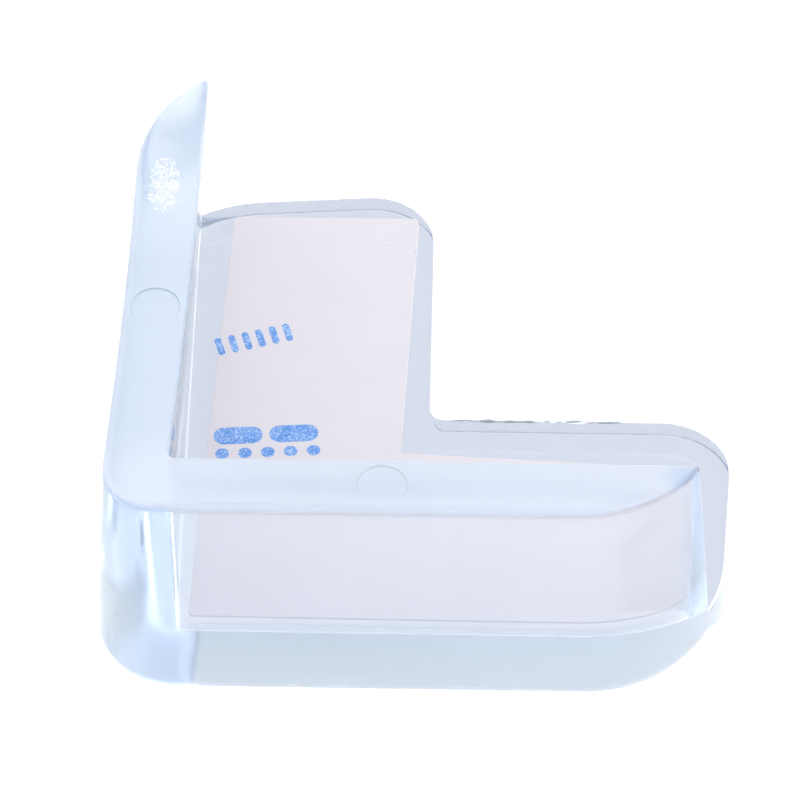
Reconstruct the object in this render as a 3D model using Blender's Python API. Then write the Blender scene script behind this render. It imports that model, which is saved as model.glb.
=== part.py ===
"""Clear corner guard for a table top, with its adhesive tape and the tape's release liner.

The guard is one soft plastic moulding: an L-shaped plate with a wall along each of its two outer
sides. It stands on its plate here, open side up, as it lies before it is fitted. Lengths are in
metres. One arm runs along +X and the other along +Y. The origin is on the plate's outer face,
straight below the corner where the inner faces of the two walls meet.
"""

import math

import bmesh
import bpy

MM = 0.001

# Moulding: overall sizes, all measured at the plate's outer face unless a rim is named.
# The long arm runs along +Y and the front arm along +X. Each arm's end slants, so that the arm has
# its full length at its free side and is shorter at its wall.
ARM_LENGTH = 55.5 * MM
LONG_ARM_WIDTH = 28.7 * MM
FRONT_ARM_WIDTH = 28.3 * MM
HEIGHT = 23.5 * MM
PLATE_THICKNESS = 4.0 * MM
RIM_THICKNESS = 5.35 * MM
DRAFT_ANGLE = math.radians(4.3)
END_SLANT = math.radians(4.4)

# Moulding: plan radii
BASE_CORNER_RADIUS = 7.2 * MM
RIM_CORNER_RADIUS = 4.3 * MM
END_RADIUS_ALONG = 11.6 * MM
END_RADIUS_ACROSS = 12.3 * MM
FREE_CORNER_RADIUS = 6.7 * MM
NOTCH_RADIUS = 0.8 * MM
INNER_CORNER_RADIUS = 0.5 * MM
LEAST_RADIUS = 0.3 * MM

# Moulding: rounding of the plate's outer edge, along the walls and along the open sides
OUTER_EDGE_RADIUS = 2.2 * MM
OPEN_EDGE_RADIUS = 0.2 * MM
FOOT_RADIUS = 0.5 * MM

# The soft wall along +Y has relaxed: towards its free end its rim leans in over the plate, more on
# its inner face than on its outer face, and the foot of its inner face has drawn back
INNER_FACE_LEAN = 1.1 * MM
OUTER_FACE_LEAN = 0.75 * MM
FOOT_DRAWN_BACK = 0.4 * MM
INNER_LEAN_LENGTH = 44.0 * MM
OUTER_LEAN_LENGTH = 30.0 * MM

# Round marks that the mould's ejector pins left in the rim, one on each wall
PIN_MARK_RADIUS = 2.0 * MM
PIN_MARK_DEPTH = 0.15 * MM
FRONT_PIN_MARK_DISTANCE = 17.55 * MM
LONG_PIN_MARK_DISTANCE = 16.4 * MM

# Tape and liner
TAPE_THICKNESS = 0.6 * MM
LINER_THICKNESS = 0.15 * MM
SEAT_GAP = 0.2 * MM
TAPE_CORNER_RADIUS = 0.5 * MM

# The tape was stuck on a little askew, so its gaps differ at the two ends of each edge
TAPE_TO_LONG_WALL_NEAR = 1.0 * MM
TAPE_TO_LONG_WALL_FAR = 2.8 * MM
TAPE_TO_FRONT_WALL_NEAR = 0.6 * MM
TAPE_TO_FRONT_WALL_FAR = 0.5 * MM
TAPE_TO_FAR_END_NEAR = 2.9 * MM
TAPE_TO_FAR_END_FAR = 4.15 * MM
TAPE_TO_RIGHT_END_NEAR = 2.3 * MM
TAPE_TO_RIGHT_END_FAR = 3.1 * MM
TAPE_TO_LONG_SIDE_FAR = 1.6 * MM
TAPE_TO_LONG_SIDE_NEAR = 2.7 * MM
TAPE_TO_BACK_SIDE_NEAR = 5.0 * MM
TAPE_TO_BACK_SIDE_FAR = 6.3 * MM

# Facets
CORNER_STEPS = 9
END_STEPS = 14
FADING_STEPS = 4
FREE_CORNER_STEPS = 9
SMALL_CORNER_STEPS = 3
EDGE_STEPS = 5
SIDE_STEPS = 12
PIN_MARK_STEPS = 32
CUT_CLEAR = 5.0 * MM

# Values that follow from the sizes above
DRAFT_OVER_HEIGHT = HEIGHT * math.tan(DRAFT_ANGLE)
WALL_AT_BASE = RIM_THICKNESS + DRAFT_OVER_HEIGHT
OUTER_FACE = -WALL_AT_BASE
ARM_END = OUTER_FACE + ARM_LENGTH
LONG_ARM_SIDE = OUTER_FACE + LONG_ARM_WIDTH
FRONT_ARM_SIDE = OUTER_FACE + FRONT_ARM_WIDTH


def clamped(value):
    return min(max(value, 0.0), 1.0)


def blend(start, end, share):
    return start + (end - start) * share


def draft_inset(height):
    """How far the outer faces have drawn in at this height above the plate's outer face."""
    return height * math.tan(DRAFT_ANGLE)


def arc(centre, radii, start, end, steps):
    """Points on a quarter of an ellipse round centre, from start to end in degrees."""
    points = []
    for step in range(steps + 1):
        angle = math.radians(blend(start, end, step / steps))
        points.append((centre[0] + radii[0] * math.cos(angle), centre[1] + radii[1] * math.sin(angle)))
    return points


def between(start, end, steps):
    """The points that divide a straight side, without its two ends."""
    return [
        (blend(start[0], end[0], step / steps), blend(start[1], end[1], step / steps))
        for step in range(1, steps)
    ]


def body_outline(inset, height):
    """The moulding's plan outline, drawn in by inset, anticlockwise from above.

    Each point comes with a share that is 1 where the outer edge has its full rounding and 0 along
    the open sides. The rounding fades on the part of each end curve that lies past the wall's end.
    """
    face = OUTER_FACE + inset
    end = ARM_END - inset
    side = LONG_ARM_SIDE - inset
    back = FRONT_ARM_SIDE - inset
    edge_inset = max(inset - draft_inset(height), 0.0)
    corner = blend(BASE_CORNER_RADIUS, RIM_CORNER_RADIUS, clamped(height / HEIGHT))
    corner = max(corner - edge_inset, LEAST_RADIUS)
    along = END_RADIUS_ALONG - edge_inset
    across = END_RADIUS_ACROSS - inset
    free = max(FREE_CORNER_RADIUS - inset, LEAST_RADIUS)
    notch = NOTCH_RADIUS + inset

    outer_corner = arc((face + corner, face + corner), (corner, corner), 180, 270, CORNER_STEPS)
    right_end = arc((end - along, face + across), (along, across), 270, 360, END_STEPS)
    right_free = arc((end - free, back - free), (free, free), 0, 90, FREE_CORNER_STEPS)
    notch_corner = arc((side + notch, back + notch), (notch, notch), 270, 180, SMALL_CORNER_STEPS)
    far_free = arc((side - free, end - free), (free, free), 0, 90, FREE_CORNER_STEPS)
    far_end = arc((face + across, end - along), (across, along), 90, 180, END_STEPS)

    slope = math.tan(END_SLANT)
    right_end, right_free = [
        [(x - (back - y) * slope, y) for x, y in stretch] for stretch in (right_end, right_free)
    ]
    far_free, far_end = [
        [(x, y - (side - x) * slope) for x, y in stretch] for stretch in (far_free, far_end)
    ]
    long_side = between(far_end[-1], outer_corner[0], SIDE_STEPS)

    points = outer_corner + right_end + right_free + notch_corner + far_free + far_end + long_side
    fading = [clamped((END_STEPS - step) / FADING_STEPS) for step in range(END_STEPS + 1)]
    shares = [1.0] * len(outer_corner) + fading
    shares += [0.0] * (len(right_free) + len(notch_corner) + len(far_free))
    shares += fading[::-1] + [1.0] * len(long_side)
    return points, shares


def lean_share(y, length):
    """How much of its lean the wall along +Y has reached at y, if it all builds up over length."""
    return 1.0 - (1.0 - clamped(y / length)) ** 2


def rise_share(z):
    """The height over the plate's inner face, as a share of the wall's height over it."""
    return max((z - PLATE_THICKNESS) / (HEIGHT - PLATE_THICKNESS), 0.0)


def outside_leaned(x, y, z):
    """The place of a point of the outer form, with the lean of the wall along +Y."""
    outer = OUTER_FACE_LEAN * lean_share(y, OUTER_LEAN_LENGTH)
    inner = INNER_FACE_LEAN * lean_share(y, INNER_LEAN_LENGTH)
    lean = blend(outer, inner, clamped(1.0 + x / RIM_THICKNESS))
    on_wall = clamped(1.0 - x / WALL_AT_BASE)
    return (x + lean * rise_share(z) * on_wall, y, z)


def inside_leaned(x, y, z):
    """The place of a point of the inner space, with the lean of the wall along +Y."""
    lean = blend(-FOOT_DRAWN_BACK, INNER_FACE_LEAN, rise_share(z))
    on_wall = clamped(1.0 - x / WALL_AT_BASE)
    return (x + lean * lean_share(y, INNER_LEAN_LENGTH) * on_wall, y, z)


def stacked(name, rings):
    """A mesh raised ring by ring: the first ring is filled, and extruded to each later one."""
    bm = bmesh.new()
    base = bm.faces.new([bm.verts.new(point) for point in rings[0]])
    face = base
    for ring in rings[1:]:
        raised = bmesh.ops.extrude_face_region(bm, geom=[face])
        if face is not base:
            bmesh.ops.delete(bm, geom=[face], context="FACES_ONLY")
        face = next(item for item in raised["geom"] if isinstance(item, bmesh.types.BMFace))
        for vert, point in zip(face.verts, ring):
            vert.co = point
    bmesh.ops.recalc_face_normals(bm, faces=bm.faces)
    mesh = bpy.data.meshes.new(name)
    bm.to_mesh(mesh)
    bm.free()
    return mesh


def collection_named(name):
    collection = bpy.data.collections.new(name)
    bpy.context.scene.collection.children.link(collection)
    return collection


def plastic(name, colour, roughness, transmission, ior):
    material = bpy.data.materials.new(name)
    material.use_nodes = True
    shader = material.node_tree.nodes["Principled BSDF"]
    shader.inputs["Base Color"].default_value = (*colour, 1.0)
    shader.inputs["Roughness"].default_value = roughness
    shader.inputs["Metallic"].default_value = 0.0
    shader.inputs["Transmission Weight"].default_value = transmission
    shader.inputs["IOR"].default_value = ior
    material.diffuse_color = (*colour, 1.0)
    return material


def body_rings():
    """The moulding's outer form: the rounded edge, then the drafted sides up to the rim."""
    rings = []
    for step in range(EDGE_STEPS + 1):
        turn = math.radians(90.0 * step / EDGE_STEPS)
        ring = []
        _, shares = body_outline(0.0, 0.0)
        for index, share in enumerate(shares):
            radius = blend(OPEN_EDGE_RADIUS, OUTER_EDGE_RADIUS, share)
            height = radius * (1.0 - math.cos(turn))
            inset = radius * (1.0 - math.sin(turn)) + draft_inset(height)
            points, _ = body_outline(inset, height)
            ring.append((*points[index], height))
        rings.append(ring)
    for height in (PLATE_THICKNESS, HEIGHT):
        points, _ = body_outline(draft_inset(height), height)
        rings.append([outside_leaned(*point, height) for point in points])
    return rings


def inner_space_rings():
    """The space over the plate, which the furniture's corner fills: it is cut from the outer form."""
    reach = ARM_END + CUT_CLEAR

    def ring(inset, height):
        radius = INNER_CORNER_RADIUS
        points = arc((inset + radius, inset + radius), (radius, radius), 180, 270, SMALL_CORNER_STEPS)
        points += [(reach, inset), (reach, reach), (inset, reach)]
        points += between((inset, ARM_END), (inset, inset + radius), SIDE_STEPS)
        return [inside_leaned(*point, height) for point in points]

    rings = []
    for step in range(SMALL_CORNER_STEPS + 1):
        turn = math.radians(90.0 * step / SMALL_CORNER_STEPS)
        inset = FOOT_RADIUS * (1.0 - math.sin(turn))
        rings.append(ring(inset, PLATE_THICKNESS + FOOT_RADIUS * (1.0 - math.cos(turn))))
    rings.append(ring(0.0, HEIGHT + CUT_CLEAR))
    return rings


def add_cutter(name, mesh, cutters):
    cutter = bpy.data.objects.new(name, mesh)
    cutter.hide_render = True
    cutter.display_type = "WIRE"
    cutters.objects.link(cutter)
    return cutter


def pin_mark_mesh(name, centre):
    """A short round cutter that sinks a pin mark into the rim."""
    bm = bmesh.new()
    bmesh.ops.create_cone(
        bm,
        cap_ends=True,
        segments=PIN_MARK_STEPS,
        radius1=PIN_MARK_RADIUS,
        radius2=PIN_MARK_RADIUS,
        depth=2.0 * PIN_MARK_DEPTH,
    )
    bmesh.ops.translate(bm, verts=bm.verts, vec=(*centre, HEIGHT))
    mesh = bpy.data.meshes.new(name)
    bm.to_mesh(mesh)
    bm.free()
    return mesh


def cut(target, cutter):
    boolean = target.modifiers.new("cut " + cutter.name, "BOOLEAN")
    boolean.operation = "DIFFERENCE"
    boolean.object = cutter


def add_corner_guard(parts, cutters):
    guard = bpy.data.objects.new("corner_guard", stacked("corner_guard", body_rings()))
    guard.data.materials.append(plastic("clear_soft_plastic", (0.80, 0.90, 0.96), 0.08, 0.9, 1.53))
    parts.objects.link(guard)
    cut(guard, add_cutter("inner_space_cutter", stacked("inner_space_cutter", inner_space_rings()), cutters))
    mid_rim = -RIM_THICKNESS / 2.0
    lean_at_mark = outside_leaned(mid_rim, LONG_PIN_MARK_DISTANCE, HEIGHT)[0]
    marks = {
        "front_pin_mark_cutter": (FRONT_PIN_MARK_DISTANCE, mid_rim),
        "long_pin_mark_cutter": (lean_at_mark, LONG_PIN_MARK_DISTANCE),
    }
    for name, centre in marks.items():
        cut(guard, add_cutter(name, pin_mark_mesh(name, centre), cutters))
    return guard


def tape_outline():
    """The askew L of the tape and its liner, anticlockwise, with slightly rounded corners."""
    side = LONG_ARM_SIDE - draft_inset(PLATE_THICKNESS)
    back = FRONT_ARM_SIDE - draft_inset(PLATE_THICKNESS)
    end = ARM_END - draft_inset(PLATE_THICKNESS)

    def end_beside(distance):
        return end - distance * math.tan(END_SLANT)

    front_y = TAPE_TO_FRONT_WALL_FAR
    back_y = back - TAPE_TO_BACK_SIDE_FAR
    near_x = TAPE_TO_LONG_WALL_FAR
    far_x = side - TAPE_TO_LONG_SIDE_FAR
    corners = [
        (TAPE_TO_LONG_WALL_NEAR, TAPE_TO_FRONT_WALL_NEAR),
        (end_beside(back - front_y) - TAPE_TO_RIGHT_END_NEAR, front_y),
        (end_beside(back - back_y) - TAPE_TO_RIGHT_END_FAR, back_y),
        (side - TAPE_TO_LONG_SIDE_NEAR, back - TAPE_TO_BACK_SIDE_NEAR),
        (far_x, end_beside(side - far_x) - TAPE_TO_FAR_END_FAR),
        (near_x, end_beside(side - near_x) - TAPE_TO_FAR_END_NEAR),
    ]
    return rounded(corners, TAPE_CORNER_RADIUS)


def rounded(corners, radius):
    """The polygon with each corner replaced by a short curve that starts radius away from it."""
    points = []
    for index, corner in enumerate(corners):
        before = corners[index - 1]
        after = corners[(index + 1) % len(corners)]
        start = toward(corner, before, radius)
        end = toward(corner, after, radius)
        for step in range(SMALL_CORNER_STEPS + 1):
            share = step / SMALL_CORNER_STEPS
            first = (blend(start[0], corner[0], share), blend(start[1], corner[1], share))
            second = (blend(corner[0], end[0], share), blend(corner[1], end[1], share))
            points.append((blend(first[0], second[0], share), blend(first[1], second[1], share)))
    return points


def toward(start, end, distance):
    share = distance / math.dist(start, end)
    return (blend(start[0], end[0], share), blend(start[1], end[1], share))


def add_sheet(name, outline, bottom, thickness, material, parts):
    """A flat sheet of this plan outline, made as a filled curve with its thickness extruded."""
    curve = bpy.data.curves.new(name, "CURVE")
    curve.dimensions = "2D"
    curve.fill_mode = "BOTH"
    curve.extrude = thickness / 2.0
    spline = curve.splines.new("POLY")
    spline.points.add(len(outline) - 1)
    for point, place in zip(spline.points, outline):
        point.co = (*place, 0.0, 1.0)
    spline.use_cyclic_u = True
    curve.materials.append(material)
    sheet = bpy.data.objects.new(name, curve)
    sheet.location.z = bottom + thickness / 2.0
    parts.objects.link(sheet)
    return sheet


def add_tape_and_liner(parts):
    outline = tape_outline()
    tape_bottom = PLATE_THICKNESS + SEAT_GAP
    liner_bottom = tape_bottom + TAPE_THICKNESS + SEAT_GAP
    tape_look = plastic("tape_foam", (0.90, 0.93, 0.96), 0.35, 0.3, 1.48)
    liner_look = plastic("liner_paper", (0.90, 0.90, 0.93), 0.45, 0.0, 1.45)
    add_sheet("adhesive_tape", outline, tape_bottom, TAPE_THICKNESS, tape_look, parts)
    add_sheet("release_liner", outline, liner_bottom, LINER_THICKNESS, liner_look, parts)


def main():
    for obj in list(bpy.data.objects):
        bpy.data.objects.remove(obj)
    parts = collection_named("furniture_corner_protector")
    cutters = collection_named("cutters")
    add_corner_guard(parts, cutters)
    add_tape_and_liner(parts)


main()
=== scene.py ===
"""Looks of a clear furniture corner guard, with its adhesive tape, release liner and a plain studio.

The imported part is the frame. Three pieces are rebuilt here in finer form inside its box: the soft
plastic moulding, the tape and the liner. Lengths are in metres, one arm runs along +X, the other
along +Y, and the walls rise along +Z.
"""

import math

import bmesh
import bpy
from mathutils import Matrix, Vector


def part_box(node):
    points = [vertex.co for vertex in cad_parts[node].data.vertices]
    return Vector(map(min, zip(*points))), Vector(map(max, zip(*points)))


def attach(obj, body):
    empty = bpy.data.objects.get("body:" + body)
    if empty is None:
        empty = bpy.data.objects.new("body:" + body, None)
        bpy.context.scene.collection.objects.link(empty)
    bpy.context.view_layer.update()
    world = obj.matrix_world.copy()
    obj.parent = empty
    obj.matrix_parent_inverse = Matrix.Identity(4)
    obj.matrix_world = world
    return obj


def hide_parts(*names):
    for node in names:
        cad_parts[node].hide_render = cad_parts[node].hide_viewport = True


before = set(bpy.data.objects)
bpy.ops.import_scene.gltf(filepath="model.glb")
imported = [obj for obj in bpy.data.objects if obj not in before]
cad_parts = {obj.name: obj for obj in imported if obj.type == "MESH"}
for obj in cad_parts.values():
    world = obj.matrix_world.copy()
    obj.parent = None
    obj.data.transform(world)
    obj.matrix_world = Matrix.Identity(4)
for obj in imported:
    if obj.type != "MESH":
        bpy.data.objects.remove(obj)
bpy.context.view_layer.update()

bl_info = {
    "name": "Corner Guard",
    "version": (1, 0, 0),
    "blender": (4, 5, 0),
    "location": "3D View > Sidebar > Corner Guard",
    "description": "Builds a clear furniture corner guard with its tape and liner, and a plain studio",
    "category": "Add Mesh",
}

MM = 0.001

# Moulding: overall sizes. The outer faces draw in with height, and each arm's end slants. The
# scuffs stand off the rim by SCUFF_RISE and end at the frame's top. The finer curves bulge a little
# past the frame's facets, so the outer faces lie in by CURVE_ALLOWANCE.
SCUFF_RISE = 0.006 * MM
CURVE_ALLOWANCE = 0.005 * MM
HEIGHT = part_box("corner_guard")[1].z - SCUFF_RISE
PLATE_THICKNESS = 4.0 * MM
RIM_THICKNESS = 5.35 * MM
DRAFT_ANGLE = math.radians(4.3)
END_SLANT = math.radians(4.4)
ARM_LENGTH = 55.475 * MM
OUTER_FACE = CURVE_ALLOWANCE - RIM_THICKNESS - HEIGHT * math.tan(DRAFT_ANGLE)
ARM_END = OUTER_FACE + ARM_LENGTH
LONG_ARM_SIDE = OUTER_FACE + 28.7 * MM
FRONT_ARM_SIDE = OUTER_FACE + 28.3 * MM

# Moulding: plan radii
BASE_CORNER_RADIUS = 7.2 * MM
RIM_CORNER_RADIUS = 4.3 * MM
END_RADIUS_ALONG = 11.6 * MM
END_RADIUS_ACROSS = 12.3 * MM
FREE_CORNER_RADIUS = 6.7 * MM
NOTCH_RADIUS = 0.8 * MM
INNER_CORNER_RADIUS = 0.5 * MM

# Moulding: rounding of the plate's outer edge, along the walls and along the open sides
OUTER_EDGE_RADIUS = 2.2 * MM
OPEN_EDGE_RADIUS = 0.2 * MM

# The soft wall along +Y leans in over the plate towards its free end
INNER_FACE_LEAN = 1.1 * MM
OUTER_FACE_LEAN = 0.75 * MM
FOOT_DRAWN_BACK = 0.4 * MM
INNER_LEAN_LENGTH = 44.0 * MM
OUTER_LEAN_LENGTH = 30.0 * MM

# Ejector pin marks in the rim, one on each wall
PIN_MARK_RADIUS = 2.0 * MM
PIN_MARK_DEPTH = 0.15 * MM
PIN_MARK_FLARE = 0.16 * MM
FRONT_PIN_MARK_DISTANCE = 17.55 * MM
LONG_PIN_MARK_DISTANCE = 16.4 * MM

# Spots of the moulding's skin: the scuffed patch of the long rim, painted light that lightens the
# rim's far end, painted shade in a darker blue on the rim's right end, and the outer corner,
# rougher and with a painted highlight that whitens it. Each has a centre and radii.
SCUFF_CENTRE = (-2.1 * MM, 30.4 * MM)
SCUFF_RADII = (1.4 * MM, 3.4 * MM)
SCUFF_DEPTH = 2.0 * MM
# Painted light: the rim's far end is lightened toward the body colour
FAR_END_LIGHT = (-1.0 * MM, 43.0 * MM, HEIGHT), (14.0 * MM, 22.0 * MM, 3.0 * MM)
# Painted shade: a darker blue on the rim's right end
RIGHT_END_SHADE = (42.6 * MM, -1.5 * MM, HEIGHT), (2.8 * MM, 1.9 * MM, 2.0 * MM)
RIGHT_END_SHADE_COLOUR = (0.30, 0.42, 0.60)
WHITE = (1.0, 1.0, 1.0)
# The outer corner is rougher, and a painted highlight whitens its colour
ROUGH_HIGHLIT_CORNER_PLACE = OUTER_FACE + 2.0 * MM
ROUGH_HIGHLIT_CORNER = (ROUGH_HIGHLIT_CORNER_PLACE, ROUGH_HIGHLIT_CORNER_PLACE, 8.0 * MM), (7.0 * MM, 7.0 * MM, 16.0 * MM)

# Flash along the front arm's upper back edge: its ends along X, how far its line lies in from the
# edge and below it, and the band in which the painted shade under it lies
FLASH_ENDS = (22.7 * MM, 38.0 * MM)
FLASH_INSET = 0.25 * MM
FLASH_DEPTH = 0.12 * MM
FLASH_SHADE_INSETS = (0.35 * MM, 0.20 * MM)

# Facets of the finer mesh
CORNER_STEPS = 18
END_WALL_STEPS = 16
END_PLATE_STEPS = 7
FREE_CORNER_STEPS = 18
SMALL_CORNER_STEPS = 5
EDGE_STEPS = 12
SIDE_STEPS = 28
INNER_SIDE_STEPS = 12
WALL_RINGS = 5

# Tape and liner. The tape was stuck on a little askew.
TAPE_BOTTOM = PLATE_THICKNESS - 0.02 * MM
TAPE_TOP = 4.94 * MM
LINER_BOTTOM = 4.95 * MM
LINER_TOP = 5.13 * MM
TAPE_CORNER_RADIUS = 0.5 * MM
TAPE_EDGE = 0.08 * MM
LINER_EDGE = 0.03 * MM
TAPE_TO_LONG_WALL = (1.0 * MM, 2.8 * MM)
TAPE_TO_FRONT_WALL = (0.6 * MM, 0.5 * MM)
TAPE_TO_FAR_END = (2.9 * MM, 4.15 * MM)
TAPE_TO_RIGHT_END = (2.3 * MM, 3.1 * MM)
TAPE_TO_LONG_SIDE = (2.7 * MM, 1.6 * MM)
TAPE_TO_BACK_SIDE = (5.0 * MM, 6.3 * MM)

# Camera that matches the photograph
CAMERA_PLACE = Vector((24.61, -221.04, 291.74)) * MM
CAMERA_AZIMUTH = math.radians(-1.457)
CAMERA_ELEVATION = math.radians(49.698)
CAMERA_ROLL = math.radians(-0.262)
CAMERA_FOCAL_PIXELS = 4250.5
PICTURE_PIXELS = 800
SENSOR_WIDTH = 36.0

# Studio: softboxes by name, place, size and share of the power, and the surround's two colours
SOFTBOXES = (
    ("main_softbox", Vector((0.15, 0.35, 1.1)), 0.7, 1.0),
    ("fill_softbox", Vector((0.8, -0.5, 0.8)), 0.6, 0.45),
    ("back_softbox", Vector((0.3, 1.15, 0.56)), 0.35, 1.6),
)
SOFTBOX_AIM = Vector((18.0, 18.0, 8.0)) * MM
HORIZON_COLOUR = (1.7, 1.71, 1.73)
ZENITH_COLOUR = (1.2, 1.2, 1.2)
FLOOR_GAP = 0.03 * MM
LIGHT_BOUNCES = 48

# Edges that turn by more than this stay crisp
CRISP_ANGLE = math.radians(40.0)


def clamped(value):
    return min(max(value, 0.0), 1.0)


def blend(start, end, share):
    return start + (end - start) * share


def draft_inset(height):
    """How far the outer faces have drawn in at this height above the plate's outer face."""
    return height * math.tan(DRAFT_ANGLE)


def arc(centre, radii, start, end, steps):
    """Points on an ellipse round centre, from start to end in degrees."""
    points = []
    for step in range(steps + 1):
        angle = math.radians(blend(start, end, step / steps))
        points.append((centre[0] + radii[0] * math.cos(angle), centre[1] + radii[1] * math.sin(angle)))
    return points


def between(start, end, steps):
    """The points that divide a straight side, without its two ends."""
    return [
        (blend(start[0], end[0], step / steps), blend(start[1], end[1], step / steps))
        for step in range(1, steps)
    ]


def lean_share(y, length):
    """How much of its lean the wall along +Y has reached at y, if it all builds up over length."""
    return 1.0 - (1.0 - clamped(y / length)) ** 2


def rise_share(z):
    """The height over the plate's inner face, as a share of the wall's height over it."""
    return max((z - PLATE_THICKNESS) / (HEIGHT - PLATE_THICKNESS), 0.0)


def outside_leaned(x, y, z):
    """The place of a point of the outer form, with the lean of the wall along +Y."""
    outer = OUTER_FACE_LEAN * lean_share(y, OUTER_LEAN_LENGTH)
    inner = INNER_FACE_LEAN * lean_share(y, INNER_LEAN_LENGTH)
    lean = blend(outer, inner, clamped(1.0 + x / RIM_THICKNESS))
    return Vector((x + lean * rise_share(z) * clamped(1.0 + x / OUTER_FACE), y, z))


def inside_leaned(x, y, z):
    """The place of a point of the inner faces, with the lean of the wall along +Y."""
    lean = blend(-FOOT_DRAWN_BACK, INNER_FACE_LEAN, rise_share(z))
    return Vector((x + lean * lean_share(y, INNER_LEAN_LENGTH) * clamped(1.0 + x / OUTER_FACE), y, z))


def wall_tip_angles(height):
    """Where the walls' inner faces meet the two end curves, in degrees on the right and far curve."""
    inset = draft_inset(max(height, PLATE_THICKNESS))
    across = END_RADIUS_ACROSS - inset
    right = 360.0 - math.degrees(math.asin((OUTER_FACE + END_RADIUS_ACROSS) / across))
    low, high = 90.0, 180.0
    level = max(height, PLATE_THICKNESS)
    for _ in range(40):
        middle = (low + high) / 2.0
        x, y = far_end_point(middle, inset, END_RADIUS_ALONG)
        if outside_leaned(x, y, level).x > inside_leaned(0.0, y, level).x:
            low = middle
        else:
            high = middle
    return right, (low + high) / 2.0


def far_end_point(angle, inset, along):
    across = END_RADIUS_ACROSS - inset
    x = OUTER_FACE + END_RADIUS_ACROSS + across * math.cos(math.radians(angle))
    y = ARM_END - inset - along + along * math.sin(math.radians(angle))
    return x, y - (LONG_ARM_SIDE - inset - x) * math.tan(END_SLANT)


def right_end_point(angle, inset, along):
    across = END_RADIUS_ACROSS - inset
    y = OUTER_FACE + END_RADIUS_ACROSS + across * math.sin(math.radians(angle))
    x = ARM_END - inset - along + along * math.cos(math.radians(angle))
    return x - (FRONT_ARM_SIDE - inset - y) * math.tan(END_SLANT), y


def curve_points(point_at, start, end, steps, inset, along):
    """Points on an end curve from start to end in degrees."""
    return [point_at(blend(start, end, step / steps), inset, along) for step in range(steps + 1)]


class Outline:
    """The moulding's plan outline at one height, anticlockwise from the outer corner.

    shares is 1 where the outer edge has its full rounding and 0 along the open sides. right_tip
    and far_tip are the columns where the walls' inner faces start.
    """

    def __init__(self, inset, height):
        face = OUTER_FACE + inset
        end = ARM_END - inset
        side = LONG_ARM_SIDE - inset
        back = FRONT_ARM_SIDE - inset
        edge_inset = max(inset - draft_inset(height), 0.0)
        corner = blend(BASE_CORNER_RADIUS, RIM_CORNER_RADIUS, clamped(height / HEIGHT)) - edge_inset
        along = END_RADIUS_ALONG - edge_inset
        free = FREE_CORNER_RADIUS - inset
        notch = NOTCH_RADIUS + inset
        slope = math.tan(END_SLANT)
        right_angle, far_angle = wall_tip_angles(height)

        points = arc((face + corner, face + corner), (corner, corner), 180, 270, CORNER_STEPS)
        wall_start = right_end_point(270.0, inset, along)
        points += between(points[-1], wall_start, INNER_SIDE_STEPS)
        points += curve_points(right_end_point, 270.0, right_angle, END_WALL_STEPS, inset, along)
        self.right_tip = len(points) - 1
        self.shares = [1.0] * len(points)
        fading = [(1.0 - step / END_PLATE_STEPS) ** 4 for step in range(END_PLATE_STEPS + 1)]
        points += curve_points(right_end_point, right_angle, 360.0, END_PLATE_STEPS, inset, along)[1:]
        self.shares += fading[1:]
        right_free = arc((end - free, back - free), (free, free), 0, 90, FREE_CORNER_STEPS)
        points += [(x - (back - y) * slope, y) for x, y in right_free]
        points += arc((side + notch, back + notch), (notch, notch), 270, 180, SMALL_CORNER_STEPS)
        far_free = arc((side - free, end - free), (free, free), 0, 90, FREE_CORNER_STEPS)
        points += [(x, y - (side - x) * slope) for x, y in far_free]
        self.shares += [0.0] * (len(points) - len(self.shares))
        points += curve_points(far_end_point, 90.0, far_angle, END_PLATE_STEPS, inset, along)
        self.shares += fading[::-1]
        self.far_tip = len(points) - 1
        points += curve_points(far_end_point, far_angle, 180.0, END_WALL_STEPS, inset, along)[1:]
        points += between(points[-1], points[0], SIDE_STEPS)
        self.shares += [1.0] * (len(points) - len(self.shares))
        self.points = points


def plate_rings():
    """Rings of the plate's outer sides, from its flat outer face up to its inner face."""
    rings = []
    for step in range(EDGE_STEPS + 1):
        turn = math.radians(90.0 * step / EDGE_STEPS)
        ring = []
        for index, share in enumerate(Outline(0.0, 0.0).shares):
            radius = blend(OPEN_EDGE_RADIUS, OUTER_EDGE_RADIUS, share)
            height = radius * (1.0 - math.cos(turn))
            inset = radius * (1.0 - math.sin(turn)) + draft_inset(height)
            x, y = outline_at(inset, height).points[index]
            ring.append(Vector((x, y, height)))
        rings.append(ring)
    outline = outline_at(draft_inset(PLATE_THICKNESS), PLATE_THICKNESS)
    rings.append([outside_leaned(x, y, PLATE_THICKNESS) for x, y in outline.points])
    return rings


outline_cache = {}


def outline_at(inset, height):
    """The outline for this inset and height, kept because many points share one."""
    key = (round(inset, 9), round(height, 9))
    if key not in outline_cache:
        outline_cache[key] = Outline(inset, height)
    return outline_cache[key]


def inner_face_points(right_tip, far_tip, height):
    """The line of the walls' inner faces between the two tips, at one height."""
    radius = INNER_CORNER_RADIUS
    corner = arc((radius, radius), (radius, radius), 270, 180, SMALL_CORNER_STEPS)
    points = between((right_tip.x, 0.0), corner[0], INNER_SIDE_STEPS)
    points += corner
    points += between(corner[-1], (0.0, far_tip.y), SIDE_STEPS)
    return [inside_leaned(x, y, height) for x, y in points]


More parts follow.
